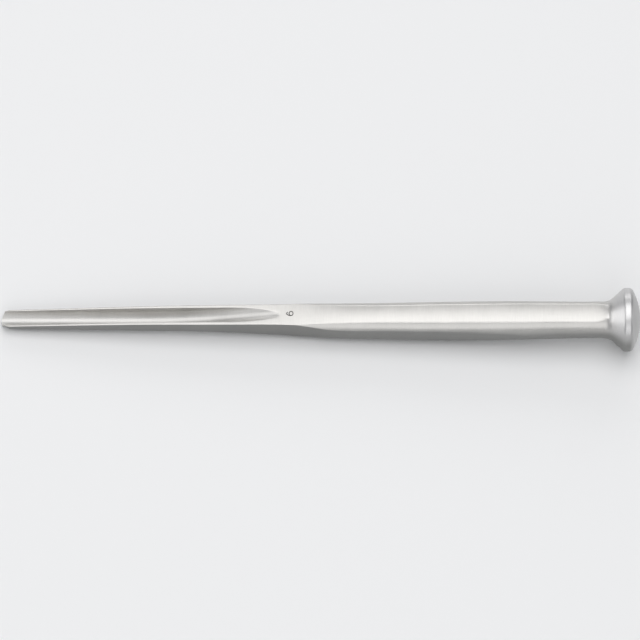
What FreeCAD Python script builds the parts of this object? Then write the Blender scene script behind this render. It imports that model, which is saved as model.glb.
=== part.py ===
# Bone gouge: one stainless forging, ground to shape and finished by hand.
# Millimetres. The body is drawn along its own axis: X runs from the cutting edge to the crown of
# the striking head, Z is square to the flat top face, and the head is turned about Z = 0.
# Its placement then lays it down as it comes to rest, groove up, on the head's rim and the blade's back.
import FreeCAD, Part, Sketcher
import math
import os

from FreeCAD import Placement, Rotation, Vector

NODE = "gouge_body"
OVERRUN = 5.0
FULL_TURN = 360.0
QUARTER_TURN = 90.0
FACET_GAP = 0.02

# A sketch's own names for the points of an edge, its origin and its two axes
START, END, MIDDLE = range(1, 4)
ORIGIN = (-1, START)
ACROSS_AXIS = -1
UPRIGHT_AXIS = -2

# A cut this long passes the widest part of the tool on both sides of its sketch
RIGHT_ACROSS = "4 * Sizes.head_radius"

# Stations along the tool, from the cutting edge: name, run from the station before, radius of the
# round forging there, depth of its back below the axis, height of the ground top face,
# half-width of the ground sides.
STATIONS = [
    ("tip", 0.0, 3.06, 2.64, 0.95, 3.00),
    ("bowl", 22.0, 3.48, 2.80, 1.95, 3.14),
    ("blade", 22.0, 4.00, 2.95, 3.14, 3.34),
    ("throat", 18.0, 4.25, 3.20, 3.34, 3.52),
    ("heel", 16.0, 4.72, 4.08, 3.60, 3.62),
    ("root", 16.0, 5.33, 5.42, 3.76, 3.62),
    ("shoulder", 9.0, 5.50, 6.14, 3.72, 4.90),
    ("grip", 13.0, 5.77, 6.74, 3.90, 5.16),
    ("belly", 26.0, 6.26, 7.22, 4.43, 5.56),
    ("waist", 24.0, 6.18, 6.62, 4.89, 6.10),
    ("collar", 16.0, 5.87, 6.00, 4.79, 6.75),
]

# Driving sizes that belong to one feature each: name, value.
SIZES = [
    ("neck_run", 9.5),
    ("neck_radius", 5.80),
    ("head_length", 11.7),
    ("head_radius", 10.10),
    ("rim_radius", 1.40),
    ("rim_land", 1.03),
    ("flare_angle", 42.0),
    ("flare_root_radius", 4.5),
    ("groove_radius", 2.54),
    ("groove_floor_depth", 1.45),
    ("groove_floor_run", 57.6),
    ("groove_ramp_angle", 9.4),
    ("groove_ramp_blend", 170.0),
    ("nose_crown_radius", 9.0),
    ("nose_corner_radius", 2.7),
    ("nose_half_width", 3.2),
    ("nose_lead", 0.2),
    ("bevel_angle", 25.0),
    ("face_runout_radius", 17.0),
    ("face_runout_run", 5.3),
    ("face_stop_past_neck", 1.7),
]

document = FreeCAD.newDocument("BoneGouge")


# The sheet of sizes
def make_sheet():
    sheet = document.addObject("Spreadsheet::Sheet", "Sizes")
    rows = []
    for name, run, radius, back, face, side in STATIONS:
        rows.append((name + "_run", run))
        rows.append((name + "_radius", radius))
        rows.append((name + "_back_depth", back))
        rows.append((name + "_face_height", face))
        rows.append((name + "_half_width", side))
    rows.extend(SIZES)
    for number, (alias, value) in enumerate(rows, start=1):
        sheet.set("A%d" % number, alias)
        sheet.set("B%d" % number, str(value))
        sheet.setAlias("B%d" % number, alias)
    document.recompute()
    return sheet


def size(alias):
    """The value that the sheet holds now."""
    return float(getattr(sheet, alias))


def cell(alias):
    """The sheet's cell as an expression."""
    return "Sizes." + alias


def place_of(name):
    """A station's distance from the cutting edge: the sum of the runs up to it."""
    names = [station[0] for station in STATIONS]
    runs = [station + "_run" for station in names[: names.index(name) + 1]]
    return " + ".join(cell(run) for run in runs)


def value_of(expression):
    """What a sum, difference or product of cells comes to."""
    return float(sheet.evalExpression(expression))


NECK_PLACE = place_of("collar") + " + Sizes.neck_run"
HEAD_END = NECK_PLACE + " + Sizes.head_length"


# Sketches
def origin_plane(body, role):
    for feature in body.Origin.OriginFeatures:
        if feature.Role == role:
            return feature
    raise ValueError("no origin plane named " + role)


def new_sketch(body, name, role):
    sketch = body.newObject("Sketcher::SketchObject", name)
    sketch.AttachmentSupport = [(origin_plane(body, role), "")]
    sketch.MapMode = "FlatFace"
    return sketch


def bind(sketch, kind, references, expression, angle=False):
    """Add one dimension to a sketch and tie it to the sheet."""
    value = value_of(expression)
    if angle:
        value = math.radians(value)
    index = sketch.addConstraint(Sketcher.Constraint(kind, *references, value))
    sketch.setExpression("Constraints[%d]" % index, ("(" + expression + ") * 1 deg") if angle else expression)
    return index


def relate(sketch, kind, *references):
    return sketch.addConstraint(Sketcher.Constraint(kind, *references))


def pin_point(sketch, geometry, position, across, up):
    """Tie a point to its two distances from the sketch's origin; a plain 0 puts it on that axis."""
    for kind, axis, expression in (("DistanceX", UPRIGHT_AXIS, across), ("DistanceY", ACROSS_AXIS, up)):
        if expression == "0":
            relate(sketch, "PointOnObject", geometry, position, axis)
        else:
            bind(sketch, kind, (*ORIGIN, geometry, position), expression)


def add_line(sketch, start, end):
    return sketch.addGeometry(Part.LineSegment(Vector(*start, 0), Vector(*end, 0)), False)


def add_spline(sketch, poles):
    """A smooth cubic outline led by control points, each tied to the sheet: (across, up) expressions."""
    points = [Vector(value_of(across), value_of(up), 0) for across, up in poles]
    curve = Part.BSplineCurve()
    curve.buildFromPoles(points, False, 3)
    spline = sketch.addGeometry(curve, False)
    sketch.exposeInternalGeometry(spline)
    for number, (across, up) in enumerate(poles, start=1):
        pin_point(sketch, spline + number, MIDDLE, across, up)
    return spline


def close_outline(sketch, first, last, corners):
    """Join the end of one edge to the start of another through the given corners."""
    before = last
    for across, up in corners:
        leave = sketch.getPoint(before, END)
        line = add_line(sketch, (leave.x, leave.y), (value_of(across), value_of(up)))
        relate(sketch, "Coincident", line, START, before, END)
        pin_point(sketch, line, END, across, up)
        before = line
    leave = sketch.getPoint(before, END)
    arrive = sketch.getPoint(first, START)
    line = add_line(sketch, (leave.x, leave.y), (arrive.x, arrive.y))
    relate(sketch, "Coincident", line, START, before, END)
    relate(sketch, "Coincident", line, END, first, START)


# Features
def volume_now(body):
    """The body's volume, summed over the facets of its skin.

    The long smooth skins are too curved for the exact integral to show a small cut. Each facet
    makes a pyramid with the origin, a sixth of the box that its three corners span.
    """
    document.recompute()
    corners, facets = body.Shape.tessellate(FACET_GAP)
    boxes = [corners[a].dot(corners[b].cross(corners[c])) for a, b, c in facets]
    return sum(boxes) / 6


def cut_checked(body, feature, before):
    """A cut that points the wrong way removes nothing and shows no error."""
    after = volume_now(body)
    if not after < before:
        raise RuntimeError(feature.Name + " removed nothing")
    return after


def cut_right_across(pocket):
    """Let a cut reach past the widest part of the tool on both sides of its sketch."""
    pocket.Type = "Length"
    pocket.SideType = "Symmetric"
    pocket.setExpression("Length", RIGHT_ACROSS)


def forge_blank(body):
    """The round forging: one smooth skin through a circle at each station.

    Each circle's sketch is turned so that its start, and with it the skin's seam, is at the top,
    where the ground face takes it away.
    """
    circles = []
    stations = [(name, place_of(name), name + "_radius", name + "_back_depth") for name, *_ in STATIONS]
    stations.append(("neck", NECK_PLACE, "neck_radius", "neck_radius"))
    for name, place, radius, back in stations:
        sketch = new_sketch(body, "Section_" + name, "YZ_Plane")
        sketch.AttachmentOffset = Placement(Vector(0, 0, 0), Rotation(Vector(0, 0, 1), QUARTER_TURN))
        sketch.setExpression(".AttachmentOffset.Base.z", place)
        centre_height = cell(radius) + " - " + cell(back)
        middle = Vector(value_of(centre_height), 0, 0)
        circle = sketch.addGeometry(Part.Circle(middle, Vector(0, 0, 1), size(radius)), False)
        bind(sketch, "Radius", (circle,), cell(radius))
        relate(sketch, "PointOnObject", circle, MIDDLE, ACROSS_AXIS)
        bind(sketch, "DistanceX", (*ORIGIN, circle, MIDDLE), centre_height)
        circles.append(sketch)
    document.recompute()
    loft = body.newObject("PartDesign::AdditiveLoft", "ForgedBlank")
    loft.Profile = circles[0]
    loft.Sections = circles[1:]
    loft.Ruled = False
    loft.Closed = False
    return loft


def flare_corners():
    """The head profile's key points: the middle of the root arc, the flare's two ends, the rim's first arc."""
    root = size("flare_root_radius")
    rim = size("rim_radius")
    flare = math.radians(size("flare_angle"))
    root_middle = Vector(value_of(NECK_PLACE), size("neck_radius") + root, 0)
    foot = root_middle + Vector(root * math.sin(flare), -root * math.cos(flare), 0)
    top_height = size("head_radius") - rim + rim * math.cos(flare)
    top = Vector(foot.x + (top_height - foot.y) / math.tan(flare), top_height, 0)
    rim_middle = top + Vector(rim * math.sin(flare), -rim * math.cos(flare), 0)
    return root_middle, foot, top, rim_middle


def turn_head(body):
    """The striking head: concave flare, a rim with a narrow land, and a domed crown, turned about the axis.

    The profile is drawn in plan, so that its seam is at the side, clear of the ground top face.
    """
    sketch = new_sketch(body, "HeadProfile", "XY_Plane")
    neck = value_of(NECK_PLACE)
    crown = value_of(HEAD_END)
    radius = size("neck_radius")
    flare = math.radians(size("flare_angle"))
    rim = size("rim_radius")
    root_middle, foot, top, front_middle = flare_corners()
    back_middle = front_middle + Vector(size("rim_land"), 0, 0)
    depth = crown - back_middle.x
    dome = (depth ** 2 + back_middle.y ** 2 - rim ** 2) / (2 * (depth - rim))
    dome_middle = Vector(crown - dome, 0, 0)
    lean = math.atan2(back_middle.y, back_middle.x - dome_middle.x)
    upright = Vector(0, 0, 1)

    face = add_line(sketch, (neck, 0), (neck, radius))
    root_circle = Part.Circle(root_middle, upright, size("flare_root_radius"))
    root_arc = sketch.addGeometry(Part.ArcOfCircle(root_circle, -math.pi / 2, flare - math.pi / 2), False)
    slope = add_line(sketch, (foot.x, foot.y), (top.x, top.y))
    front_circle = Part.Circle(front_middle, upright, rim)
    front_arc = sketch.addGeometry(Part.ArcOfCircle(front_circle, math.pi / 2, flare + math.pi / 2), False)
    land = add_line(sketch, (front_middle.x, front_middle.y + rim), (back_middle.x, back_middle.y + rim))
    back_circle = Part.Circle(back_middle, upright, rim)
    back_arc = sketch.addGeometry(Part.ArcOfCircle(back_circle, lean, math.pi / 2), False)
    dome_circle = Part.Circle(dome_middle, upright, dome)
    dome_arc = sketch.addGeometry(Part.ArcOfCircle(dome_circle, 0, lean), False)
    axis = add_line(sketch, (crown, 0), (neck, 0))

    pin_point(sketch, face, START, NECK_PLACE, "0")
    relate(sketch, "Vertical", face)
    bind(sketch, "DistanceY", (*ORIGIN, face, END), cell("neck_radius"))
    relate(sketch, "Perpendicular", face, END, root_arc, START)
    bind(sketch, "Radius", (root_arc,), cell("flare_root_radius"))
    relate(sketch, "Tangent", root_arc, END, slope, START)
    bind(sketch, "Angle", (slope,), cell("flare_angle"), angle=True)
    relate(sketch, "Tangent", slope, END, front_arc, END)
    bind(sketch, "Radius", (front_arc,), cell("rim_radius"))
    relate(sketch, "Tangent", front_arc, START, land, START)
    relate(sketch, "Horizontal", land)
    bind(sketch, "DistanceX", (land, START, land, END), cell("rim_land"))
    bind(sketch, "DistanceY", (*ORIGIN, land, START), cell("head_radius"))
    relate(sketch, "Tangent", land, END, back_arc, END)
    relate(sketch, "Equal", back_arc, front_arc)
    relate(sketch, "Tangent", back_arc, START, dome_arc, END)
    relate(sketch, "PointOnObject", dome_arc, MIDDLE, ACROSS_AXIS)
    pin_point(sketch, dome_arc, START, HEAD_END, "0")
    relate(sketch, "Coincident", axis, START, dome_arc, START)
    relate(sketch, "Coincident", axis, END, face, START)
    document.recompute()

    head = body.newObject("PartDesign::Revolution", "StrikingHead")
    head.Profile = sketch
    head.ReferenceAxis = (sketch, ["H_Axis"])
    head.Angle = FULL_TURN
    return head


def grind_top(body):
    """The flat top face: falls away along the blade, and lifts out of the neck where the wheel stops."""
    sketch = new_sketch(body, "TopOutline", "XZ_Plane")
    poles = [(place_of(name), cell(name + "_face_height")) for name, *_ in STATIONS]
    spline = add_spline(sketch, poles)
    collar_face = cell("collar_face_height")
    stop = NECK_PLACE + " + Sizes.face_stop_past_neck"
    lift = stop + " - Sizes.face_runout_run"
    radius = size("face_runout_radius")
    centre = Vector(value_of(lift), size("collar_face_height") + radius, 0)
    sweep = math.asin(size("face_runout_run") / radius)

    leave = (value_of(place_of("collar")), size("collar_face_height"))
    level = add_line(sketch, leave, (centre.x, centre.y - radius))
    circle = Part.Circle(centre, Vector(0, 0, 1), radius)
    arc = sketch.addGeometry(Part.ArcOfCircle(circle, -math.pi / 2, sweep - math.pi / 2), False)
    relate(sketch, "Coincident", level, START, spline, END)
    pin_point(sketch, level, END, lift, collar_face)
    relate(sketch, "Coincident", arc, START, level, END)
    relate(sketch, "Vertical", arc, START, arc, MIDDLE)
    bind(sketch, "Radius", (arc,), cell("face_runout_radius"))
    bind(sketch, "DistanceX", (*ORIGIN, arc, END), stop)
    above = "Sizes.head_radius + Sizes.neck_radius"
    behind = "0 - Sizes.head_radius"
    close_outline(sketch, spline, arc, [(stop, above), (behind, above), (behind, cell("tip_face_height"))])
    document.recompute()

    pocket = body.newObject("PartDesign::Pocket", "TopFace")
    pocket.Profile = sketch
    cut_right_across(pocket)
    return pocket


def grind_sides(body):
    """The flat sides: close in along the blade, open at the shoulder and run out on the round waist."""
    sketch = new_sketch(body, "SideOutline", "XY_Plane")
    poles = [(place_of(name), cell(name + "_half_width")) for name, *_ in STATIONS]
    spline = add_spline(sketch, poles)
    outside = "Sizes.head_radius + Sizes.neck_radius"
    behind = "0 - Sizes.head_radius"
    corners = [(place_of("collar"), outside), (behind, outside), (behind, cell("tip_half_width"))]
    close_outline(sketch, spline, spline, corners)
    document.recompute()

    pocket = body.newObject("PartDesign::Pocket", "SideFace")
    pocket.Profile = sketch
    cut_right_across(pocket)
    return pocket


def mirror_across(body, feature):
    """The same cut on the other side of the middle plane."""
    mirrored = body.newObject("PartDesign::Mirrored", feature.Name + "Mirrored")
    mirrored.Originals = [feature]
    mirrored.MirrorPlane = (origin_plane(body, "XZ_Plane"), [""])
    body.Tip = mirrored
    return mirrored


def mill_groove(body):
    """The gouge's channel: a round-bottomed cutter runs level, then climbs out through the top face."""
    start = -OVERRUN
    floor = -size("groove_floor_depth")
    radius = size("groove_radius")
    bend = size("groove_floor_run")
    climb = math.radians(size("groove_ramp_angle"))
    blend = size("groove_ramp_blend")
    reach = blend * math.tan(climb / 2)
    top = size("head_radius")

    path = new_sketch(body, "GroovePath", "XZ_Plane")
    level = add_line(path, (start, floor), (bend - reach, floor))
    circle = Part.Circle(Vector(bend - reach, floor + blend, 0), Vector(0, 0, 1), blend)
    arc = path.addGeometry(Part.ArcOfCircle(circle, -math.pi / 2, climb - math.pi / 2), False)
    arc_end = path.getPoint(arc, END)
    far = bend + (top - floor) / math.tan(climb)
    ramp = add_line(path, (arc_end.x, arc_end.y), (far, top))
    corner = path.addGeometry(Part.Point(Vector(bend, floor, 0)), True)
    relate(path, "Horizontal", level)
    bind(path, "DistanceX", (level, START, *ORIGIN), str(OVERRUN))
    bind(path, "DistanceY", (level, START, *ORIGIN), cell("groove_floor_depth"))
    relate(path, "Tangent", level, END, arc, START)
    relate(path, "Tangent", arc, END, ramp, START)
    bind(path, "Radius", (arc,), cell("groove_ramp_blend"))
    bind(path, "Angle", (ramp,), cell("groove_ramp_angle"), angle=True)
    relate(path, "PointOnObject", corner, START, level)
    relate(path, "PointOnObject", corner, START, ramp)
    bind(path, "DistanceX", (*ORIGIN, corner, START), cell("groove_floor_run"))
    bind(path, "DistanceY", (*ORIGIN, ramp, END), cell("head_radius"))

    section = new_sketch(body, "GrooveSection", "YZ_Plane")
    section.AttachmentOffset = Placement(Vector(0, 0, start), Rotation())
    centre = floor + radius
    bowl_circle = Part.Circle(Vector(0, centre, 0), Vector(0, 0, 1), radius)
    bowl = section.addGeometry(Part.ArcOfCircle(bowl_circle, math.pi, 2 * math.pi), False)
    right = add_line(section, (radius, centre), (radius, top))
    lid = add_line(section, (radius, top), (-radius, top))
    left = add_line(section, (-radius, top), (-radius, centre))
    relate(section, "Tangent", bowl, END, right, START)
    relate(section, "Coincident", right, END, lid, START)
    relate(section, "Coincident", lid, END, left, START)
    relate(section, "Tangent", left, END, bowl, START)
    relate(section, "Vertical", right)
    relate(section, "Vertical", left)
    relate(section, "Horizontal", lid)
    relate(section, "PointOnObject", bowl, MIDDLE, UPRIGHT_AXIS)
    bind(section, "Radius", (bowl,), cell("groove_radius"))
    bind(section, "DistanceY", (*ORIGIN, bowl, MIDDLE), "Sizes.groove_radius - Sizes.groove_floor_depth")
    bind(section, "DistanceY", (*ORIGIN, right, END), cell("head_radius"))
    document.recompute()

    groove = body.newObject("PartDesign::SubtractivePipe", "Channel")
    groove.Profile = section
    groove.Spine = (path, [])
    return groove


def round_nose(body):
    """The nose in plan: a slightly crowned edge with rounded corners.

    The crown leads the bevel's edge a little, so that the middle of the edge stays sharp, and the
    corners are wider than the blade, so that they cross its sides instead of grazing them.
    """
    sketch = new_sketch(body, "NoseOutline", "XY_Plane")
    crown = size("nose_crown_radius")
    corner = size("nose_corner_radius")
    side = size("nose_half_width")
    corner_across = side - corner
    lean = math.asin(corner_across / (crown - corner))
    middle = crown - size("nose_lead")
    corner_place = middle - (crown - corner) * math.cos(lean)

    crown_circle = Part.Circle(Vector(middle, 0, 0), Vector(0, 0, 1), crown)
    crown_arc = sketch.addGeometry(Part.ArcOfCircle(crown_circle, math.pi - lean, math.pi + lean), False)
    upper_circle = Part.Circle(Vector(corner_place, corner_across, 0), Vector(0, 0, 1), corner)
    upper = sketch.addGeometry(Part.ArcOfCircle(upper_circle, math.pi / 2, math.pi - lean), False)
    lower_circle = Part.Circle(Vector(corner_place, -corner_across, 0), Vector(0, 0, 1), corner)
    lower = sketch.addGeometry(Part.ArcOfCircle(lower_circle, math.pi + lean, 3 * math.pi / 2), False)
    corner_height = "Sizes.nose_half_width - Sizes.nose_corner_radius"
    relate(sketch, "PointOnObject", crown_arc, MIDDLE, ACROSS_AXIS)
    bind(sketch, "Radius", (crown_arc,), cell("nose_crown_radius"))
    bind(sketch, "DistanceX", (*ORIGIN, crown_arc, MIDDLE), "Sizes.nose_crown_radius - Sizes.nose_lead")
    relate(sketch, "Tangent", upper, END, crown_arc, START)
    relate(sketch, "Tangent", crown_arc, END, lower, START)
    relate(sketch, "Equal", upper, lower)
    bind(sketch, "Radius", (upper,), cell("nose_corner_radius"))
    bind(sketch, "DistanceY", (*ORIGIN, upper, MIDDLE), corner_height)
    bind(sketch, "DistanceY", (lower, MIDDLE, *ORIGIN), corner_height)
    relate(sketch, "Vertical", upper, START, upper, MIDDLE)
    relate(sketch, "Vertical", lower, END, lower, MIDDLE)

    upper_end = sketch.getPoint(upper, START)
    lower_end = sketch.getPoint(lower, END)
    wide = size("head_radius")
    ahead = -OVERRUN
    top_rise = add_line(sketch, (upper_end.x, upper_end.y), (upper_end.x, wide))
    top_edge = add_line(sketch, (upper_end.x, wide), (ahead, wide))
    front = add_line(sketch, (ahead, wide), (ahead, -wide))
    low_edge = add_line(sketch, (ahead, -wide), (lower_end.x, -wide))
    low_rise = add_line(sketch, (lower_end.x, -wide), (lower_end.x, lower_end.y))
    relate(sketch, "Coincident", upper, START, top_rise, START)
    relate(sketch, "Coincident", top_rise, END, top_edge, START)
    relate(sketch, "Coincident", top_edge, END, front, START)
    relate(sketch, "Coincident", front, END, low_edge, START)
    relate(sketch, "Coincident", low_edge, END, low_rise, START)
    relate(sketch, "Coincident", low_rise, END, lower, END)
    relate(sketch, "Vertical", top_rise)
    relate(sketch, "Vertical", front)
    relate(sketch, "Vertical", low_rise)
    relate(sketch, "Horizontal", top_edge)
    relate(sketch, "Horizontal", low_edge)
    bind(sketch, "DistanceY", (*ORIGIN, top_edge, START), cell("head_radius"))
    bind(sketch, "DistanceY", (low_edge, END, *ORIGIN), cell("head_radius"))
    bind(sketch, "DistanceX", (front, START, *ORIGIN), str(OVERRUN))
    document.recompute()

    pocket = body.newObject("PartDesign::Pocket", "Nose")
    pocket.Profile = sketch
    cut_right_across(pocket)
    return pocket


def grind_bevel(body):
    """The outside bevel: a cone on the channel's own axis, meeting the channel in the sharp edge."""
    sketch = new_sketch(body, "BevelOutline", "XZ_Plane")
    axis_height = size("groove_radius") - size("groove_floor_depth")
    slope = math.tan(math.radians(size("bevel_angle")))
    edge = -size("groove_floor_depth")
    deep = -size("head_radius")
    run = (edge - deep) / slope
    cone = add_line(sketch, (0, edge), (run, deep))
    under = add_line(sketch, (run, deep), (-OVERRUN, deep))
    front = add_line(sketch, (-OVERRUN, deep), (-OVERRUN, edge))
    back = add_line(sketch, (-OVERRUN, edge), (0, edge))
    turning_line = Part.LineSegment(Vector(-OVERRUN, axis_height, 0), Vector(run, axis_height, 0))
    axis = sketch.addGeometry(turning_line, True)
    relate(sketch, "PointOnObject", cone, START, UPRIGHT_AXIS)
    bind(sketch, "DistanceY", (cone, START, *ORIGIN), cell("groove_floor_depth"))
    bind(sketch, "DistanceY", (cone, END, *ORIGIN), cell("head_radius"))
    bind(sketch, "Angle", (cone,), "0 - Sizes.bevel_angle", angle=True)
    relate(sketch, "Coincident", cone, END, under, START)
    relate(sketch, "Coincident", under, END, front, START)
    relate(sketch, "Coincident", front, END, back, START)
    relate(sketch, "Coincident", back, END, cone, START)
    relate(sketch, "Horizontal", under)
    relate(sketch, "Vertical", front)
    relate(sketch, "Horizontal", back)
    bind(sketch, "DistanceX", (front, START, *ORIGIN), str(OVERRUN))
    relate(sketch, "Horizontal", axis)
    bind(sketch, "DistanceX", (axis, START, *ORIGIN), str(OVERRUN))
    bind(sketch, "DistanceY", (*ORIGIN, axis, START), "Sizes.groove_radius - Sizes.groove_floor_depth")
    relate(sketch, "Vertical", axis, END, cone, END)
    document.recompute()

    bevel = body.newObject("PartDesign::Groove", "Bevel")
    bevel.Profile = sketch
    bevel.ReferenceAxis = (sketch, ["Axis0"])
    bevel.Angle = FULL_TURN
    return bevel


def build_gouge():
    body = document.addObject("PartDesign::Body", "Gouge")
    body.Label = NODE
    forge_blank(body)
    blank = volume_now(body)
    turn_head(body)
    if not volume_now(body) > blank:
        raise RuntimeError("the head added nothing")
    left = volume_now(body)
    left = cut_checked(body, grind_top(body), left)
    side = grind_sides(body)
    left = cut_checked(body, side, left)
    left = cut_checked(body, mirror_across(body, side), left)
    left = cut_checked(body, mill_groove(body), left)
    left = cut_checked(body, round_nose(body), left)
    cut_checked(body, grind_bevel(body), left)
    return body


def lay_down(body):
    """Rest the gouge, groove up, on the rim of its head and the back of its blade.

    The tilt is the fall from the head's rim to the blade's back over the length between them, and
    the origin goes under the middle of the resting tool, on the surface that it lies on.
    """
    heel_drop = size("tip_back_depth") - size("groove_floor_depth")
    bevel_run = heel_drop / math.tan(math.radians(size("bevel_angle")))
    rim_middle = flare_corners()[-1]
    fall = size("head_radius") - size("tip_back_depth")
    tilt = math.degrees(math.atan2(fall, rim_middle.x - bevel_run))
    turn = Rotation(Vector(0, 1, 0), -tilt)
    body.Placement = Placement(Vector(0, 0, 0), turn)
    document.recompute()
    box = body.Shape.optimalBoundingBox(False, False)
    under = Vector(box.Center.x, box.Center.y, box.ZMin)
    body.Placement = Placement(-under, turn)
    document.recompute()


def check_document():
    for item in document.Objects:
        for word in ("Invalid", "Error"):
            if word in item.State:
                raise RuntimeError(item.Name + " failed: " + ", ".join(item.State))


def export_part(body):
    shape = body.Shape
    if shape.isNull() or not shape.isValid() or len(shape.Solids) != 1:
        raise RuntimeError(body.Label + " is not one valid solid")
    os.makedirs("parts", exist_ok=True)
    shape.exportStep("parts/" + body.Label + ".step")
    print(body.Label, "volume mm3", round(shape.Volume, 1), "faces", len(shape.Faces))


sheet = make_sheet()
gouge = build_gouge()
lay_down(gouge)
check_document()
export_part(gouge)
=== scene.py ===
"""The bone gouge's looks: one ground and polished steel skin, its size mark, the floor, lights and camera.

The skin is worked out in the tool's own frame, in millimetres: X from the cutting edge to the crown
of the striking head, Z square to the flat top face, with the head turned about the axis. It is then
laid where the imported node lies.
"""
import math

import bpy
import numpy as np
from mathutils import Matrix, Vector


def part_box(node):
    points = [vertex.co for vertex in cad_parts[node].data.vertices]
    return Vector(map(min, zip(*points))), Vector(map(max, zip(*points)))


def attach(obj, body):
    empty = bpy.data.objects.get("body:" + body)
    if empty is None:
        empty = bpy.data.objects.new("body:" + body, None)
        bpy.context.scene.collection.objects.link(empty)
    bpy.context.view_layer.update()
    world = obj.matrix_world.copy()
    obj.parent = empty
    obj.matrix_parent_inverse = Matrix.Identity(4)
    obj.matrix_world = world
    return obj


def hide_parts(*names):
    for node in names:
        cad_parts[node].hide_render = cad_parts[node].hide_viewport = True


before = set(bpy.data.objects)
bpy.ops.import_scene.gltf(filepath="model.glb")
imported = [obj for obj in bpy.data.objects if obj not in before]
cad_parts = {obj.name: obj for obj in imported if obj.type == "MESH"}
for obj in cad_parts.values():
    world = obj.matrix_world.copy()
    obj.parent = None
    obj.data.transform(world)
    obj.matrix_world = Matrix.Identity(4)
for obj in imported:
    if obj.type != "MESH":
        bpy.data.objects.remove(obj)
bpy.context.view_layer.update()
NODE = "gouge_body"
BODY = "root"
MM = 0.001

# Stations along the tool: run from the station before, radius of the round forging, depth of its
# back below the axis, height of the ground top face, half-width of the ground sides.
RUN = np.array([0.0, 22.0, 22.0, 18.0, 16.0, 16.0, 9.0, 13.0, 26.0, 24.0, 16.0])
RADIUS = np.array([3.06, 3.48, 4.00, 4.25, 4.72, 5.33, 5.50, 5.77, 6.26, 6.18, 5.87])
BACK = np.array([2.64, 2.80, 2.95, 3.20, 4.08, 5.42, 6.14, 6.74, 7.22, 6.62, 6.00])
FACE = np.array([0.95, 1.95, 3.14, 3.34, 3.60, 3.76, 3.72, 3.90, 4.43, 4.89, 4.79])
SIDE = np.array([3.00, 3.14, 3.34, 3.52, 3.62, 3.62, 4.90, 5.16, 5.56, 6.10, 6.75])
PLACE = np.cumsum(RUN)

# The striking head
NECK_PLACE = PLACE[-1] + 9.5
NECK_RADIUS = 5.80
HEAD_LENGTH = 11.7
HEAD_RADIUS = 10.10
RIM_RADIUS = 1.40
RIM_LAND = 1.03
FLARE_ANGLE = math.radians(42.0)
FLARE_ROOT_RADIUS = 4.5
CROWN_PLACE = NECK_PLACE + HEAD_LENGTH
CROWN_PINPOINT = 0.02

# The channel, the nose and the bevel
GROOVE_RADIUS = 2.54
FLOOR_DEPTH = 1.45
FLOOR_RUN = 57.6
RAMP_ANGLE = math.radians(9.4)
RAMP_BLEND = 170.0
NOSE_CROWN_RADIUS = 9.0
NOSE_CORNER_RADIUS = 2.7
NOSE_HALF_WIDTH = 3.03
NOSE_REACH = 9.0
BEVEL_ANGLE = math.radians(25.0)
EDGE_THICKNESS = 0.03

# The end of the top face under the head
RUNOUT_RADIUS = 17.0
RUNOUT_RUN = 5.3
STOP_PLACE = NECK_PLACE + 1.7

# The handle's top face is ground by hand, so it is very slightly crowned across: how much, and where
# along the tool the crown starts and is full
FACE_CROWN = 0.16
CROWN_START = 86.0
CROWN_FULL = 112.0

# The etched size digit: where its middle is, its size over the stroke's middle line, its stroke, and how
# far it stands clear of the face
DIGIT_PLACE = 92.2
DIGIT_ACROSS = 0.27
DIGIT_HALF_HEIGHT = 1.01
DIGIT_HALF_WIDTH = 0.745
DIGIT_LOOP_HALF_HEIGHT = 0.62
DIGIT_TAIL_END = math.radians(48.0)
DIGIT_STROKE = 0.36
DIGIT_LIFT = 0.008
DIGIT_ACROSS_STROKE = np.array([-1.0, -0.9, 0.0, 0.9, 1.0])
DIGIT_UP_STROKE = np.array([-1.0, 1.0, 1.0, 1.0, -1.0])

# Where the painted shade comes in, from the unshaded top to the darker sides and back, by how far the
# surface faces up
PAINTED_SHADE_START = 0.72
PAINTED_SHADE_FULL = 0.10

# The dome of the head gets one even share of the painted shade, this far towards the darker colour
DOME_PAINTED_SHADE_SHARE = 0.40

# How soft the ground edges are, never more than one part in so many of an outline
EDGE_SOFTNESS = 0.11
EDGE_PARTS = 120.0
MARK_SOFTNESS = 0.6

# The handle's sides are rounded over by hand: how soft, where along the tool that starts and is full,
# how far before the neck it ends, and how far below the top face it starts and is full
HAND_SOFTNESS = 0.95
HAND_START = 100.0
HAND_FULL = 124.0
HAND_END = 10.0
HAND_DEPTH = (1.0, 3.0)

# How finely an outline is first followed, stretch by stretch from the back round to the channel's floor
STRETCHES = {"back": 220, "side": 120, "upper": 120, "face": 120, "wall": 80, "bowl": 200}
SPLINE_SAMPLES = 4000
ARC_SAMPLES = 500
SECTION_SAMPLES = 1024

# The rings: those of the nose, which stand closer towards the edge, of the shank and of the head, and how
# close the two rings stand that make the step at the end of the top face
NOSE_END = 10.0
NOSE_RINGS = 70
NOSE_CLOSENESS = 1.7
SHANK_RINGS = 300
HEAD_RINGS = 190
STOP_GAP = 0.01

# The columns, which gather where the outline turns: how much closer they stand there, the turn per
# millimetre that half gathers them, and how far that is evened out
HALF_COLUMNS = 80
GATHERING = 7.0
GATHERING_TURN = 1.2
GATHERING_BLUR = 6.0
DIGIT_SAMPLES = 160


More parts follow.
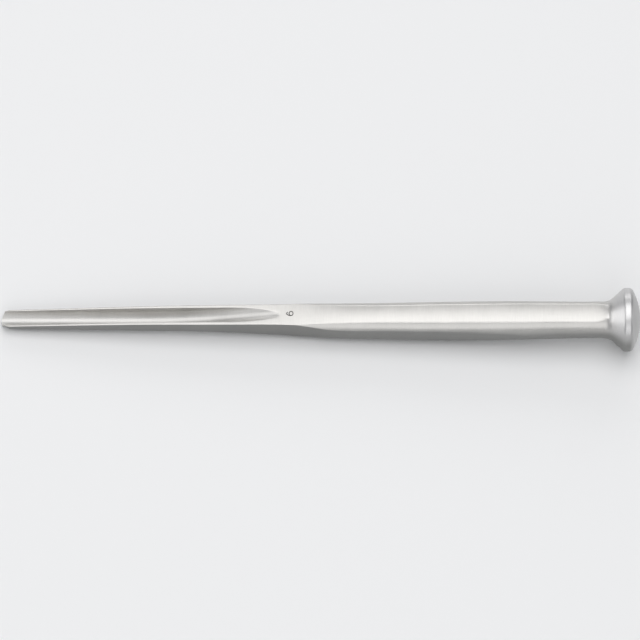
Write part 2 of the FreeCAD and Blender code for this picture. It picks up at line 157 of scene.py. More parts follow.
# Curves
def clamped_spline(across, up):
    """A cubic curve led by its control points: each point is a weighted mean of four neighbours.

    The weights are the cubic basis on even knots, with the end knots repeated four times so that
    the curve starts and ends on its first and last control points.
    """
    points = len(across)
    knots = np.concatenate([np.zeros(3), np.arange(points - 2), np.full(3, points - 3)]).astype(float)
    t = np.linspace(0.0, points - 3 - 1e-9, SPLINE_SAMPLES)
    basis = [((t >= knots[i]) & (t < knots[i + 1])).astype(float) for i in range(len(knots) - 1)]
    for degree in (1, 2, 3):
        raised = []
        for i in range(len(knots) - 1 - degree):
            left = knots[i + degree] - knots[i]
            right = knots[i + degree + 1] - knots[i + 1]
            term = np.zeros(SPLINE_SAMPLES)
            if left > 0:
                term = term + (t - knots[i]) / left * basis[i]
            if right > 0:
                term = term + (knots[i + degree + 1] - t) / right * basis[i + 1]
            raised.append(term)
        basis = raised
    weights = np.stack(basis[:points])
    return weights.T @ across, weights.T @ up


def through_points(x, places, values):
    """A smooth curve through points: cubic pieces whose slopes are the weighted mean of their neighbours'.

    The curve starts with its first piece's slope and ends level.
    """
    step = np.diff(places)
    slope = np.diff(values) / step
    inner = (slope[:-1] * step[1:] + slope[1:] * step[:-1]) / (step[1:] + step[:-1])
    slopes = np.concatenate([[slope[0]], inner, [0.0]])
    piece = np.clip(np.searchsorted(places, x, side="right") - 1, 0, len(step) - 1)
    t = np.clip((x - places[piece]) / step[piece], 0.0, 1.0)
    rise = values[piece + 1] - values[piece]
    start = slopes[piece] * step[piece]
    end = slopes[piece + 1] * step[piece]
    bend = 3 * rise - 2 * start - end
    return values[piece] + start * t + bend * t ** 2 + (start + end - 2 * rise) * t ** 3


FACE_CURVE = clamped_spline(PLACE, FACE)
SIDE_CURVE = clamped_spline(PLACE, SIDE)


def blank_radius(x):
    """The round forging's radius."""
    return through_points(x, np.append(PLACE, NECK_PLACE), np.append(RADIUS, NECK_RADIUS))


def blank_back(x):
    """How far the forging's back lies below the axis."""
    return through_points(x, np.append(PLACE, NECK_PLACE), np.append(BACK, NECK_RADIUS))


def face_height(x):
    """The top face's height: led down the tool by its control points, then an arc that lifts to its end."""
    level = np.interp(x, *FACE_CURVE)
    past = np.clip(x - (STOP_PLACE - RUNOUT_RUN), 0.0, RUNOUT_RUN)
    return level + RUNOUT_RADIUS - np.sqrt(RUNOUT_RADIUS ** 2 - past ** 2)


def side_width(x):
    """How far the ground sides lie from the middle; past the last station they are clear of the head."""
    return np.interp(x, *SIDE_CURVE, right=HEAD_RADIUS)


def face_half_width(x):
    """Half the top face's width: where it meets the forging's circle, or the ground side if nearer."""
    radius = blank_radius(x)
    reach = np.arccos(np.clip((radius - blank_back(x) - face_height(x)) / radius, -1.0, 1.0))
    return np.minimum(side_width(x), radius * np.sin(reach))


def crown_rise(x, y):
    """The hand-ground face against a flat one: up half the crown in the middle, down half at the edges.

    In between it falls with the square of the distance across. The crown itself grows along the start
    of the handle.
    """
    crown = FACE_CROWN * np.clip((x - CROWN_START) / (CROWN_FULL - CROWN_START), 0.0, 1.0)
    return crown * (0.5 - (y / np.maximum(face_half_width(x), 0.5)) ** 2)


def floor_height(x):
    """The channel's floor: level, then an arc, then a straight ramp out through the top face."""
    reach = RAMP_BLEND * math.tan(RAMP_ANGLE / 2.0)
    start = FLOOR_RUN - reach
    bend = np.clip(x - start, 0.0, RAMP_BLEND * math.sin(RAMP_ANGLE))
    arc = RAMP_BLEND - np.sqrt(RAMP_BLEND ** 2 - bend ** 2)
    ramp = np.clip(x - start - RAMP_BLEND * math.sin(RAMP_ANGLE), 0.0, None) * math.tan(RAMP_ANGLE)
    return -FLOOR_DEPTH + arc + ramp


def nose_setback(across):
    """How far the edge lies behind its middle: a wide crown arc, then a corner arc on each side."""
    y = np.abs(across)
    corner_across = NOSE_HALF_WIDTH - NOSE_CORNER_RADIUS
    lean = math.asin(corner_across / (NOSE_CROWN_RADIUS - NOSE_CORNER_RADIUS))
    corner_place = NOSE_CROWN_RADIUS - (NOSE_CROWN_RADIUS - NOSE_CORNER_RADIUS) * math.cos(lean)
    crown = NOSE_CROWN_RADIUS - np.sqrt(NOSE_CROWN_RADIUS ** 2 - np.minimum(y, NOSE_CROWN_RADIUS) ** 2)
    inside = np.clip(NOSE_CORNER_RADIUS ** 2 - (y - corner_across) ** 2, 0.0, None)
    corner = corner_place - np.sqrt(inside)
    return np.where(y < NOSE_CROWN_RADIUS * math.sin(lean), crown, corner)


FLARE_FOOT = np.array([NECK_PLACE + FLARE_ROOT_RADIUS * math.sin(FLARE_ANGLE),
                       NECK_RADIUS + FLARE_ROOT_RADIUS * (1.0 - math.cos(FLARE_ANGLE))])
RIM_HEIGHT = HEAD_RADIUS - RIM_RADIUS
FLARE_RISE = RIM_HEIGHT + RIM_RADIUS * math.cos(FLARE_ANGLE) - FLARE_FOOT[1]
FLARE_TOP_PLACE = FLARE_FOOT[0] + FLARE_RISE / math.tan(FLARE_ANGLE)
FRONT_RIM_PLACE = FLARE_TOP_PLACE + RIM_RADIUS * math.sin(FLARE_ANGLE)
BACK_RIM_PLACE = FRONT_RIM_PLACE + RIM_LAND


def head_meridian(count):
    """The head's outline from neck to crown, evenly stepped.

    It runs along the root arc, the flare, the front rim arc, the land, the back rim arc and the dome,
    whose radius is the one that meets the back arc smoothly and ends at the crown.
    """
    depth = CROWN_PLACE - BACK_RIM_PLACE
    dome = (depth ** 2 + RIM_HEIGHT ** 2 - RIM_RADIUS ** 2) / (2.0 * (depth - RIM_RADIUS))
    dome_place = CROWN_PLACE - dome
    lean = math.atan2(RIM_HEIGHT, BACK_RIM_PLACE - dome_place)

    def arc(middle, height, radius, start, end):
        turn = np.linspace(start, end, ARC_SAMPLES)
        return np.column_stack([middle + radius * np.cos(turn), height + radius * np.sin(turn)])

    upright = math.pi / 2
    root_height = NECK_RADIUS + FLARE_ROOT_RADIUS
    outline = np.concatenate([
        arc(NECK_PLACE, root_height, FLARE_ROOT_RADIUS, -upright, FLARE_ANGLE - upright),
        arc(FRONT_RIM_PLACE, RIM_HEIGHT, RIM_RADIUS, FLARE_ANGLE + upright, upright),
        arc(BACK_RIM_PLACE, RIM_HEIGHT, RIM_RADIUS, upright, lean),
        arc(dome_place, 0.0, dome, lean, 0.0),
    ])
    step = np.hypot(*np.diff(outline, axis=0).T)
    length = np.concatenate([[0.0], np.cumsum(step)])
    even = np.linspace(0.0, length[-1], count)
    return np.interp(even, length, outline[:, 0]), np.interp(even, length, outline[:, 1])


# The skin
def ring_places():
    """Where the rings stand: closest at the nose, and in step with the head's outline past the neck.

    The last ring is a pinpoint's width and not a point, so that it has a direction all the way round.
    """
    nose = NOSE_END * np.linspace(0.0, 1.0, NOSE_RINGS) ** NOSE_CLOSENESS
    shank = NOSE_END + (NECK_PLACE - NOSE_END) * np.linspace(0.0, 1.0, SHANK_RINGS + 1)[1:]
    ground = np.concatenate([nose, shank])
    x_head, r_head = head_meridian(HEAD_RINGS + 1)
    r_head = np.maximum(r_head, CROWN_PINPOINT)
    stop_ring = np.searchsorted(x_head, STOP_PLACE)
    x_head[stop_ring - 1] = STOP_PLACE - STOP_GAP
    x_head[stop_ring] = STOP_PLACE + STOP_GAP
    x = np.concatenate([ground, x_head[1:]])
    radius = np.concatenate([blank_radius(ground), r_head[1:]])
    back = np.concatenate([blank_back(ground), r_head[1:]])
    return x, radius, back


def stretch_mark(*marked):
    """One along the named stretches of an outline and zero along the others."""
    return np.concatenate([np.full(count, float(name in marked)) for name, count in STRETCHES.items()])


def half_sections(x, radius, back):
    """Each ring's half outline, from the middle of the back to the middle of the top, and its finish marks.

    Going round: arc of the forging, ground side, arc again, top face to the channel's rim, wall, and
    the channel's round floor. A stretch that a ring lacks has no length there.
    """
    side = np.minimum(side_width(x), radius)
    middle = radius - back
    height = np.where(x < STOP_PLACE, face_height(x), middle + radius + 1.0)
    reach = np.arccos(np.clip((middle - height) / radius, -1.0, 1.0))
    low = np.minimum(np.arcsin(np.clip(side / radius, 0.0, 1.0)), reach)
    high = np.minimum(np.pi - low, reach)
    floor = np.where(x < STOP_PLACE, floor_height(x), height + 1.0)
    top = np.minimum(height, middle + radius)
    depth = np.clip(top - floor, 0.0, None)
    centre = floor + GROOVE_RADIUS
    shallow = depth < GROOVE_RADIUS
    open_turn = np.arccos(np.clip(1.0 - depth / GROOVE_RADIUS, -1.0, 1.0))
    rim_turn = np.where(shallow, open_turn, np.pi / 2)
    rim = GROOVE_RADIUS * np.sin(rim_turn)

    def stretch(start, end, name):
        return start[:, None] + (end - start)[:, None] * np.linspace(0.0, 1.0, STRETCHES[name])[None, :]

    def on_forging(start, end, name):
        turn = stretch(start, end, name)
        y = np.minimum(side[:, None], radius[:, None] * np.sin(turn))
        return y, middle[:, None] - radius[:, None] * np.cos(turn)

    zero = np.zeros_like(x)
    y_low, z_low = on_forging(zero, low, "back")
    y_high, z_high = on_forging(high, reach, "upper")
    y_flat = stretch(y_low[:, -1], y_high[:, 0], "side")
    z_flat = stretch(z_low[:, -1], z_high[:, 0], "side")
    y_face = stretch(y_high[:, -1], rim, "face")
    z_face = stretch(z_high[:, -1], top, "face")
    wall_foot = np.where(shallow, top, centre)
    z_face = z_face + crown_rise(x[:, None], y_face) * (x < STOP_PLACE)[:, None]
    y_wall = stretch(rim, rim, "wall")
    z_wall = stretch(z_face[:, -1], np.where(depth > 0.0, wall_foot, z_face[:, -1]), "wall")
    turn = stretch(rim_turn, zero, "bowl")
    cut = (depth > 0.0)[:, None]
    y_bowl = GROOVE_RADIUS * np.sin(turn)
    z_bowl = np.where(cut, centre[:, None] - GROOVE_RADIUS * np.cos(turn), z_face[:, -1:])
    y = np.concatenate([y_low, y_flat, y_high, y_face, y_wall, y_bowl], axis=1)
    z = np.concatenate([z_low, z_flat, z_high, z_face, z_wall, z_bowl], axis=1)

    face = stretch_mark("face")[None, :] * (x < STOP_PLACE)[:, None]
    groove = stretch_mark("wall", "bowl")[None, :] * cut

    axis_y, axis_z = y, z - centre[:, None]
    reach_now = np.hypot(axis_y, axis_z)
    limit = (GROOVE_RADIUS + EDGE_THICKNESS + x * math.tan(BEVEL_ANGLE))[:, None]
    keep = np.minimum(1.0, limit / np.maximum(reach_now, 1e-6))
    near_nose = (x < NOSE_REACH)[:, None]
    y = np.where(near_nose, axis_y * keep, y)
    z = np.where(near_nose, centre[:, None] + axis_z * keep, z)
    return y, z, face, groove


def resample(fraction, wanted, values):
    """Read rows of values at wanted fractions: the rows are laid end to end and read in one pass."""
    rows = np.arange(len(fraction))[:, None] * 2.0
    read = np.interp((wanted + rows).ravel(), (fraction + rows).ravel(), values.ravel())
    return read.reshape(wanted.shape)


def run_along(y, z):
    """Distance along each row, as a share of the row's length, and that length."""
    step = np.hypot(np.diff(y, axis=1), np.diff(z, axis=1)) + 1e-9
    run = np.concatenate([np.zeros((len(y), 1)), np.cumsum(step, axis=1)], axis=1)
    return run / run[:, -1:], run[:, -1]


def soften(values, sigma, odd):
    """Blur closed outlines with a bell curve of a given width in samples, in the frequency domain."""
    sign = -1.0 if odd else 1.0
    loop = np.concatenate([values, sign * values[:, -2:0:-1]], axis=1)
    samples = loop.shape[1]
    wave = np.fft.rfftfreq(samples)[None, :]
    bell = np.exp(-2.0 * (np.pi * wave * sigma[:, None]) ** 2)
    soft = np.fft.irfft(np.fft.rfft(loop, axis=1) * bell, samples, axis=1)
    return soft[:, : values.shape[1]]


def ease(share):
    """From 0 to 1 with level ends."""
    share = np.clip(share, 0.0, 1.0)
    return share * share * (3.0 - 2.0 * share)


def hand_rounded(x, z):
    """How much of the hand rounding a point has: none at the top face's edge, all on the handle's sides."""
    upper, lower = HAND_DEPTH
    down = ease((face_height(x) - z - upper) / (lower - upper))
    return down * ease((x - HAND_START) / (HAND_FULL - HAND_START)) * ease((NECK_PLACE - x) / HAND_END)


def underside(y, z):
    """How much painted shade a point gets, by how far its surface has turned from facing up to sideways: 0
    on the top, 1 on the sides and back.
    """
    along_y, along_z = np.gradient(y, axis=1), np.gradient(z, axis=1)
    upward = -along_y / np.maximum(np.hypot(along_y, along_z), 1e-9)
    return ease((PAINTED_SHADE_START - upward) / (PAINTED_SHADE_START - PAINTED_SHADE_FULL))


def skin_sections():
    """All rings: softened at their corners, with columns gathered where the outline turns sharply."""
    x, radius, back = ring_places()
    y, z, face, groove = half_sections(x, radius, back)
    share, _ = run_along(y, z)
    even = np.linspace(0.0, 1.0, SECTION_SAMPLES)[None, :] * np.ones((len(x), 1))
    y, z, face, groove = [resample(share, even, v) for v in (y, z, face, groove)]
    _, length = run_along(y, z)
    pitch = length / (SECTION_SAMPLES - 1)
    sigma = np.minimum(EDGE_SOFTNESS, length / EDGE_PARTS) / pitch
    rounded_y = soften(y, sigma * HAND_SOFTNESS / EDGE_SOFTNESS, odd=True)
    rounded_z = soften(z, sigma * HAND_SOFTNESS / EDGE_SOFTNESS, odd=False)
    rounded = hand_rounded(x[:, None], z)
    y = soften(y, sigma, odd=True) * (1.0 - rounded) + rounded_y * rounded
    z = soften(z, sigma, odd=False) * (1.0 - rounded) + rounded_z * rounded
    face = soften(face, sigma * MARK_SOFTNESS, odd=False)
    groove = soften(groove, sigma * MARK_SOFTNESS, odd=False)

    bend_y = np.gradient(np.gradient(y, axis=1), axis=1)
    bend_z = np.gradient(np.gradient(z, axis=1), axis=1)
    turn = np.hypot(bend_y, bend_z) / pitch[:, None] ** 2
    weight = 1.0 + GATHERING * turn / (turn + GATHERING_TURN)
    weight = soften(weight, np.full(len(x), GATHERING_BLUR), odd=False)
    share = np.cumsum(weight, axis=1)
    share = (share - share[:, :1]) / (share[:, -1:] - share[:, :1])
    wanted = np.linspace(0.0, 1.0, HALF_COLUMNS + 1)[None, :] * np.ones((len(x), 1))
    struck = ease((x - BACK_RIM_PLACE) / RIM_RADIUS)[:, None]
    # Painted shade: the sides and back darker than the top, none in the channel, and one even share over
    # the dome
    under = underside(y, z) * (1.0 - groove) * (1.0 - struck) + DOME_PAINTED_SHADE_SHARE * struck
    y, z, face, groove, under = [resample(share, wanted, v) for v in (y, z, face, groove, under)]
    return x, y, z, {"face": face, "groove": groove, "under": under}


def lay_down(points):
    """The tool's own millimetres tilted to its rest, in metres. SHIFT then puts it where the node lies."""
    tilt = resting_tilt()
    x = points[:, 0] * math.cos(tilt) - points[:, 2] * math.sin(tilt)
    z = points[:, 0] * math.sin(tilt) + points[:, 2] * math.cos(tilt)
    return np.column_stack([x, points[:, 1], z]) * MM


def resting_tilt():
    """The fall from the head's rim to the blade's back, over the length between them."""
    bevel_run = (BACK[0] - FLOOR_DEPTH) / math.tan(BEVEL_ANGLE)
    return math.atan2(HEAD_RADIUS - BACK[0], FRONT_RIM_PLACE - bevel_run)


def tool_to_frame():
    """The shift that puts the tilted tool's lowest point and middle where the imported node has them."""
    low, high = [np.array(corner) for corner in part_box(NODE)]
    x, radius, _ = ring_places()
    tilt = resting_tilt()
    rim = np.array([x, np.zeros_like(x), -radius]).T
    back_points = lay_down(rim)
    top_points = lay_down(np.array([x, np.zeros_like(x), radius]).T)
    reach_low = min(back_points[:, 0].min(), lay_down(np.array([[0.0, 0.0, -FLOOR_DEPTH]]))[0, 0])
    reach_high = max(back_points[:, 0].max(), top_points[:, 0].max())
    shift_x = (low[0] + high[0]) / 2.0 - (reach_low + reach_high) / 2.0
    shift_z = low[2] - back_points[x > PLACE[-1]][:, 2].min()
    return np.array([shift_x, 0.0, shift_z])


def make_mesh(name, points, faces, attributes=None, smooth=True):
    """A piece with its origin at the scene's origin; the attributes are one number for each point."""
    mesh = bpy.data.meshes.new(name)
    mesh.from_pydata(points.tolist(), [], faces)
    mesh.update()
    for key, values in (attributes or {}).items():
        layer = mesh.attributes.new(key, "FLOAT", "POINT")
        layer.data.foreach_set("value", values.astype(np.float32))
    if smooth:
        mesh.shade_smooth()
    piece = bpy.data.objects.new(name, mesh)
    bpy.context.scene.collection.objects.link(piece)
    return piece


def build_skin():
    """The gouge's whole skin: closed rings from the sharp nose to the crown, closed at both ends."""
    x, y, z, marks = skin_sections()
    rings, columns = len(x), 2 * HALF_COLUMNS
    y = np.concatenate([y, -y[:, -2:0:-1]], axis=1)
    z = np.concatenate([z, z[:, -2:0:-1]], axis=1)
    marks = {name: np.concatenate([mark, mark[:, -2:0:-1]], axis=1).ravel()
             for name, mark in marks.items()}
    fade = np.clip(1.0 - x / NOSE_REACH, 0.0, 1.0) ** 2
    place = x[:, None] + nose_setback(y) * fade[:, None]
    points = np.column_stack([place.ravel(), y.ravel(), z.ravel()])

    ring = np.arange(rings - 1)[:, None] * columns
    column = np.arange(columns)[None, :]
    beside = (column + 1) % columns
    quads = np.stack([ring + column, ring + beside,
                      ring + columns + beside, ring + columns + column], axis=-1)
    faces = quads.reshape(-1, 4).tolist()
    faces.append(list(range(columns - 1, -1, -1)))
    faces.append(list(range((rings - 1) * columns, rings * columns)))
    marks["head"] = np.repeat(np.clip((x - NECK_PLACE) / FLARE_ROOT_RADIUS, 0.0, 1.0), columns)
    return make_mesh("gouge_skin", lay_down(points) + SHIFT, faces, marks)


def digit_line(count):
    """The middle line of a figure six, along the digit's right and up.

    It is an arc over the top from the tail's end and down the stem, and then once round the loop. Both
    are parts of ellipses with the same middle and the same width.
    """
    loop_middle = DIGIT_LOOP_HALF_HEIGHT - DIGIT_HALF_HEIGHT
    stem_half_height = DIGIT_HALF_HEIGHT - loop_middle
    over = np.linspace(DIGIT_TAIL_END, math.pi, count // 2)
    round_loop = np.linspace(math.pi, 3.0 * math.pi, count - count // 2 + 1)[1:]
    turn = np.concatenate([over, round_loop])
    half_height = np.where(turn <= math.pi, stem_half_height, DIGIT_LOOP_HALF_HEIGHT)
    return DIGIT_HALF_WIDTH * np.cos(turn), loop_middle + half_height * np.sin(turn)


def build_digit():
    """The size digit, a flat ribbon carried along its middle line just clear of the face, edges sunk in it.

    The digit lies on its side: its top points to the cutting edge and its right to the far side.
    """
    right, up = digit_line(DIGIT_SAMPLES)
    step_right, step_up = np.gradient(right), np.gradient(up)
    length = np.hypot(step_right, step_up)
    offset = DIGIT_STROKE / 2.0 * DIGIT_ACROSS_STROKE
    lift = DIGIT_LIFT * DIGIT_UP_STROKE
    right = right[:, None] + (step_up / length)[:, None] * offset
    up = up[:, None] - (step_right / length)[:, None] * offset
    x = DIGIT_PLACE - up
    y = DIGIT_ACROSS + right
    z = face_height(x) + crown_rise(x, y) + lift
    rows, columns = x.shape
    start = (np.arange(rows - 1)[:, None] * columns + np.arange(columns - 1)[None, :]).reshape(-1, 1)
    quads = start + np.array([0, 1, columns + 1, columns])
    points = np.column_stack([x.ravel(), y.ravel(), z.ravel()])
    return make_mesh("size_digit", lay_down(points) + SHIFT, quads.tolist())


SHIFT = tool_to_frame()
skin = build_skin()
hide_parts(NODE)
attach(skin, BODY)
digit = build_digit()
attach(digit, BODY)


# Finishes
def new_material(name):
    """A material with its tree and its shader."""
    material = bpy.data.materials.new(name)
    material.use_nodes = True
    tree = material.node_tree
    return material, tree, tree.nodes["Principled BSDF"]


def add_node(tree, kind, **settings):
    """A node with its settings; names that aren't settings of the node are its inputs' values."""
    node = tree.nodes.new(kind)
    for key, value in settings.items():
        if hasattr(node, key):
            setattr(node, key, value)
        else:
            node.inputs[key.replace("_", " ")].default_value = value
    return node


def add_math(tree, operation, first, second):
    """A sum, product or the like of two values, each a socket or a number."""
    node = add_node(tree, "ShaderNodeMath", operation=operation)
    for socket, value in zip(node.inputs, (first, second)):
        if isinstance(value, (int, float)):
            socket.default_value = value
        else:
            tree.links.new(value, socket)
    return node.outputs[0]


def make_grain_group():
    """Grinding marks: noise drawn out into fine lines along one direction, and slow hand-made unevenness.

    The inputs set how fine the lines are along each axis and how strong they are. The outputs are a
    line height about zero and a slow mask about zero.
    """
    group = bpy.data.node_groups.new("grinding_grain", "ShaderNodeTree")
    for name, kind, value in (("Position", "NodeSocketVector", None),
                              ("Lines", "NodeSocketVector", (1.0, 1.0, 1.0)),
                              ("Strength", "NodeSocketFloat", 1.0)):
        socket = group.interface.new_socket(name, in_out="INPUT", socket_type=kind)
        if value is not None:
            socket.default_value = value
    for name in ("Height", "Unevenness"):
        group.interface.new_socket(name, in_out="OUTPUT", socket_type="NodeSocketFloat")
    given = group.nodes.new("NodeGroupInput")
    stretched = add_node(group, "ShaderNodeVectorMath", operation="MULTIPLY")
    group.links.new(given.outputs["Position"], stretched.inputs[0])
    group.links.new(given.outputs["Lines"], stretched.inputs[1])
    fine = add_node(group, "ShaderNodeTexNoise", Scale=1.0, Detail=3.0, Roughness=0.65)
    group.links.new(stretched.outputs[0], fine.inputs["Vector"])
    centred = add_math(group, "SUBTRACT", fine.outputs["Fac"], 0.5)
    height = add_math(group, "MULTIPLY", centred, given.outputs["Strength"])
    slow = add_node(group, "ShaderNodeTexNoise", Scale=150.0, Detail=2.0, Roughness=0.5)
    group.links.new(given.outputs["Position"], slow.inputs["Vector"])
    uneven = add_math(group, "SUBTRACT", slow.outputs["Fac"], 0.5)
    shown = group.nodes.new("NodeGroupOutput")
    group.links.new(height, shown.inputs["Height"])
    group.links.new(uneven, shown.inputs["Unevenness"])
    return group


GRAIN = make_grain_group()
CROSS_LINES = (5200.0, 260.0, 900.0)
LONG_LINES = (220.0, 6000.0, 6000.0)


def add_grain(tree, position, lines, strength):
    """The shared grain in a material: its line height and its slow unevenness."""
    node = add_node(tree, "ShaderNodeGroup", node_tree=GRAIN)
    node.inputs["Lines"].default_value = lines
    node.inputs["Strength"].default_value = strength
    tree.links.new(position, node.inputs["Position"])
    return node.outputs["Height"], node.outputs["Unevenness"]


def add_blend(tree, share, first, second):
    """One value going over into another by a share from 0 to 1."""
    node = add_node(tree, "ShaderNodeMix", data_type="FLOAT")
    for socket, value in zip((node.inputs[0], node.inputs[2], node.inputs[3]), (share, first, second)):
        if isinstance(value, (int, float)):
            socket.default_value = value
        else:
            tree.links.new(value, socket)
    return node.outputs[0]


def add_bump(tree, shader, height):
    """Lets a line height tilt the surface."""
    bump = add_node(tree, "ShaderNodeBump", Strength=1.0, Distance=GRAIN_DEPTH)
    tree.links.new(height, bump.inputs["Height"])
    tree.links.new(bump.outputs["Normal"], shader.inputs["Normal"])


FACE_ROUGHNESS = 0.36
SIDE_ROUGHNESS = 0.36
CHANNEL_ROUGHNESS = 0.46
HEAD_ROUGHNESS = 0.40
ETCHED_ROUGHNESS = 0.60
GROUND_STEEL = (0.60, 0.588, 0.566)
# The darker colour painted on the sides and back as shade
PAINTED_SHADE_STEEL = (0.27, 0.27, 0.263)
POLISHED_STEEL = (0.64, 0.629, 0.61)
HEAD_STEEL = (0.64, 0.634, 0.632)
ETCHED_STEEL = (0.15, 0.147, 0.14)
TINT_RANGE = 0.20
ETCHED_METALLIC = 0.4

# The grain: how deep it is, how much it and the slow unevenness change the roughness, and how much of it
# the polished channel and the head keep
GRAIN_DEPTH = 0.000012
LINE_ROUGHNESS = 0.08
UNEVEN_ROUGHNESS = 0.10
ETCHED_UNEVEN = 0.2
CHANNEL_LINES = 0.2
HEAD_LINES = 0.35


def add_tint(tree, share, first, second):
    """One colour going over into another by a share from 0 to 1; the first may be a socket."""
    node = add_node(tree, "ShaderNodeMix", data_type="RGBA")
    tree.links.new(share, node.inputs[0])
    for socket, value in ((node.inputs[6], first), (node.inputs[7], second)):
        if isinstance(value, tuple):
            socket.default_value = value + (1.0,)
        else:
            tree.links.new(value, socket)
    return node.outputs[2]


def make_steel():
    """Stainless steel: cross grain on the ground top face, painted shade that darkens the sides and back, a
    polished channel and head.
    """
    material, tree, shader = new_material("ground_steel")
    shader.inputs["Metallic"].default_value = 1.0
    position = add_node(tree, "ShaderNodeTexCoord").outputs["Object"]
    marks = {name: add_node(tree, "ShaderNodeAttribute", attribute_name=name).outputs["Fac"]
             for name in ("face", "groove", "under", "head")}
    cross, slow = add_grain(tree, position, CROSS_LINES, 1.0)
    along, _ = add_grain(tree, position, LONG_LINES, 1.0)

    rough = add_blend(tree, marks["face"], SIDE_ROUGHNESS, FACE_ROUGHNESS)
    rough = add_blend(tree, marks["groove"], rough, CHANNEL_ROUGHNESS)
    rough = add_blend(tree, marks["head"], rough, HEAD_ROUGHNESS)
    rough = add_math(tree, "ADD", rough, add_math(tree, "MULTIPLY", slow, UNEVEN_ROUGHNESS))
    rough = add_math(tree, "ADD", rough, add_math(tree, "MULTIPLY", cross, LINE_ROUGHNESS))
    tree.links.new(rough, shader.inputs["Roughness"])

    lines = add_blend(tree, marks["groove"], cross, add_math(tree, "MULTIPLY", along, CHANNEL_LINES))
    lines = add_blend(tree, marks["head"], lines, add_math(tree, "MULTIPLY", cross, HEAD_LINES))
    add_bump(tree, shader, lines)

    colour = add_tint(tree, marks["head"], GROUND_STEEL, HEAD_STEEL)
    colour = add_tint(tree, marks["groove"], colour, POLISHED_STEEL)
    # Painted shade: the sides and back go over into the darker colour
    colour = add_tint(tree, marks["under"], colour, PAINTED_SHADE_STEEL)
    spread = add_math(tree, "MULTIPLY", add_math(tree, "ADD", cross, slow), TINT_RANGE)
    bright = add_node(tree, "ShaderNodeVectorMath", operation="SCALE")
    tree.links.new(colour, bright.inputs[0])
    tree.links.new(add_math(tree, "ADD", spread, 1.0), bright.inputs["Scale"])
    tree.links.new(bright.outputs[0], shader.inputs["Base Color"])
    return material


def make_etched_steel():
    """The etched digit: the same ground steel gone dark and matt, with the grain still in it."""
    material, tree, shader = new_material("etched_steel")
    shader.inputs["Metallic"].default_value = ETCHED_METALLIC
    position = add_node(tree, "ShaderNodeTexCoord").outputs["Object"]
    cross, slow = add_grain(tree, position, CROSS_LINES, 1.0)
    rough = add_math(tree, "MULTIPLY", add_math(tree, "ADD", cross, slow), ETCHED_UNEVEN)
    tree.links.new(add_math(tree, "ADD", rough, ETCHED_ROUGHNESS), shader.inputs["Roughness"])
    shader.inputs["Base Color"].default_value = ETCHED_STEEL + (1.0,)
    add_bump(tree, shader, cross)
    return material


skin.data.materials.append(make_steel())
digit.data.materials.append(make_etched_steel())


# Floor, lights and camera
def tool_point(along, across, up):
    """A point of the tool's own frame, in the scene."""
    return (lay_down(np.array([[along, across, up]])) + SHIFT)[0]


VIEW_ELEVATION = math.radians(62.0)
PHOTO_PITCH = 0.3177
PHOTO_MIDDLE = 320.0
AXIS_ROW = 319.8
CAMERA_DISTANCE = 1.2
SENSOR = 36.0
FRAME_WIDTH = 2.0 * PHOTO_MIDDLE * PHOTO_PITCH * MM
FLOOR_REACH = 3.0
FLOOR_COLOUR = (0.88, 0.88, 0.88)
FLOOR_ROUGHNESS = 0.9
WORLD_COLOUR = (0.94, 0.96, 1.0)
WORLD_GLOW = 0.28

# The soft boxes: azimuth and elevation, distance, width, height, and glow
SOFT_BOXES = {
    "top_box": ((90.0, 85.5), 1.4, 1.5, 1.52, 1.66),
    "back_box": ((90.0, 24.0), 1.6, 1.6, 0.7, 1.35),
    "front_box": ((-90.0, 30.0), 1.7, 1.5, 1.40, 1.0),
    "left_box": ((180.0, 18.0), 1.5, 1.4, 0.9, 1.5),
    "right_box": ((0.0, 18.0), 1.5, 1.4, 0.9, 0.70),
}


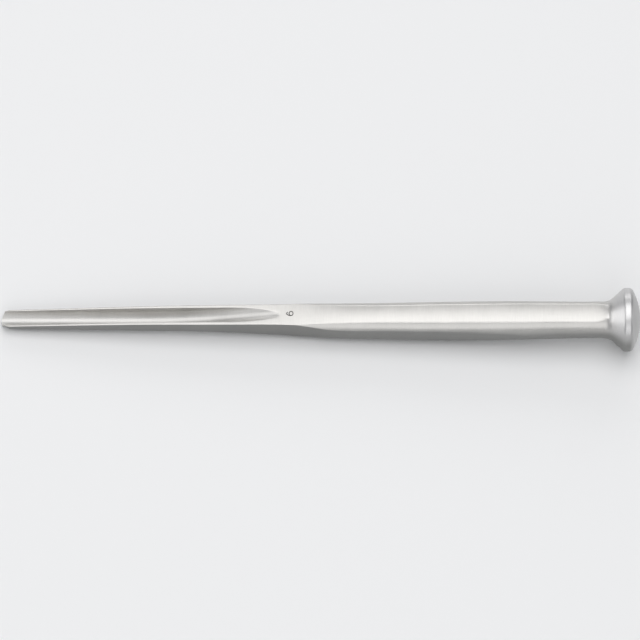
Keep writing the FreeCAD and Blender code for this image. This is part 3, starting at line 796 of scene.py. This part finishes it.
def place_camera():
    """Look along the photograph's line of sight, with the tool's axis level in the picture."""
    axis = tool_point(CROWN_PLACE, 0.0, 0.0) - tool_point(0.0, 0.0, 0.0)
    axis = axis / np.linalg.norm(axis)
    sight = np.array([0.0, math.cos(VIEW_ELEVATION), -math.sin(VIEW_ELEVATION)])
    right = axis - sight * (axis @ sight)
    right = right / np.linalg.norm(right)
    up = np.cross(right, sight)
    drop = (PHOTO_MIDDLE - AXIS_ROW) * PHOTO_PITCH * MM
    target = tool_point(PHOTO_MIDDLE * PHOTO_PITCH, 0.0, 0.0) - up * drop
    spot = target - sight * CAMERA_DISTANCE
    camera_data = bpy.data.cameras.new("view")
    camera_data.sensor_width = SENSOR
    camera_data.lens = SENSOR * CAMERA_DISTANCE / FRAME_WIDTH
    camera = bpy.data.objects.new("view", camera_data)
    bpy.context.scene.collection.objects.link(camera)
    turn = np.column_stack([right, up, -sight])
    matrix = np.eye(4)
    matrix[:3, :3] = turn
    matrix[:3, 3] = spot
    camera.matrix_world = Matrix(matrix.tolist())
    bpy.context.scene.camera = camera


def make_floor():
    """A plain pale floor, which isn't part of the tool."""
    corners = FLOOR_REACH * np.array([[-1.0, -1.0, 0.0], [1.0, -1.0, 0.0],
                                      [1.0, 1.0, 0.0], [-1.0, 1.0, 0.0]])
    floor = make_mesh("floor", corners, [[0, 1, 2, 3]], smooth=False)
    material, _, shader = new_material("pale_floor")
    shader.inputs["Base Color"].default_value = FLOOR_COLOUR + (1.0,)
    shader.inputs["Roughness"].default_value = FLOOR_ROUGHNESS
    floor.data.materials.append(material)


def add_soft_box(name, direction, distance, width, height, glow):
    """A soft box that looks at the tool: direction is its azimuth and elevation, glow its brightness."""
    azimuth, elevation = [math.radians(angle) for angle in direction]
    away = Vector((math.cos(azimuth) * math.cos(elevation), math.sin(azimuth) * math.cos(elevation),
                   math.sin(elevation)))
    lamp = bpy.data.lights.new(name, "AREA")
    lamp.shape = "RECTANGLE"
    lamp.size = width
    lamp.size_y = height
    lamp.energy = glow * math.pi * width * height
    box = bpy.data.objects.new(name, lamp)
    bpy.context.scene.collection.objects.link(box)
    box.rotation_euler = away.to_track_quat("Z", "Y").to_euler()
    box.location = away * distance


def make_world():
    """A weak, faintly blue light from all round."""
    world = bpy.data.worlds.new("studio")
    bpy.context.scene.world = world
    world.use_nodes = True
    background = world.node_tree.nodes["Background"]
    background.inputs["Color"].default_value = WORLD_COLOUR + (1.0,)
    background.inputs["Strength"].default_value = WORLD_GLOW


place_camera()
make_floor()
make_world()
for box_name, box in SOFT_BOXES.items():
    add_soft_box(box_name, *box)
bpy.context.scene.view_settings.view_transform = "Standard"
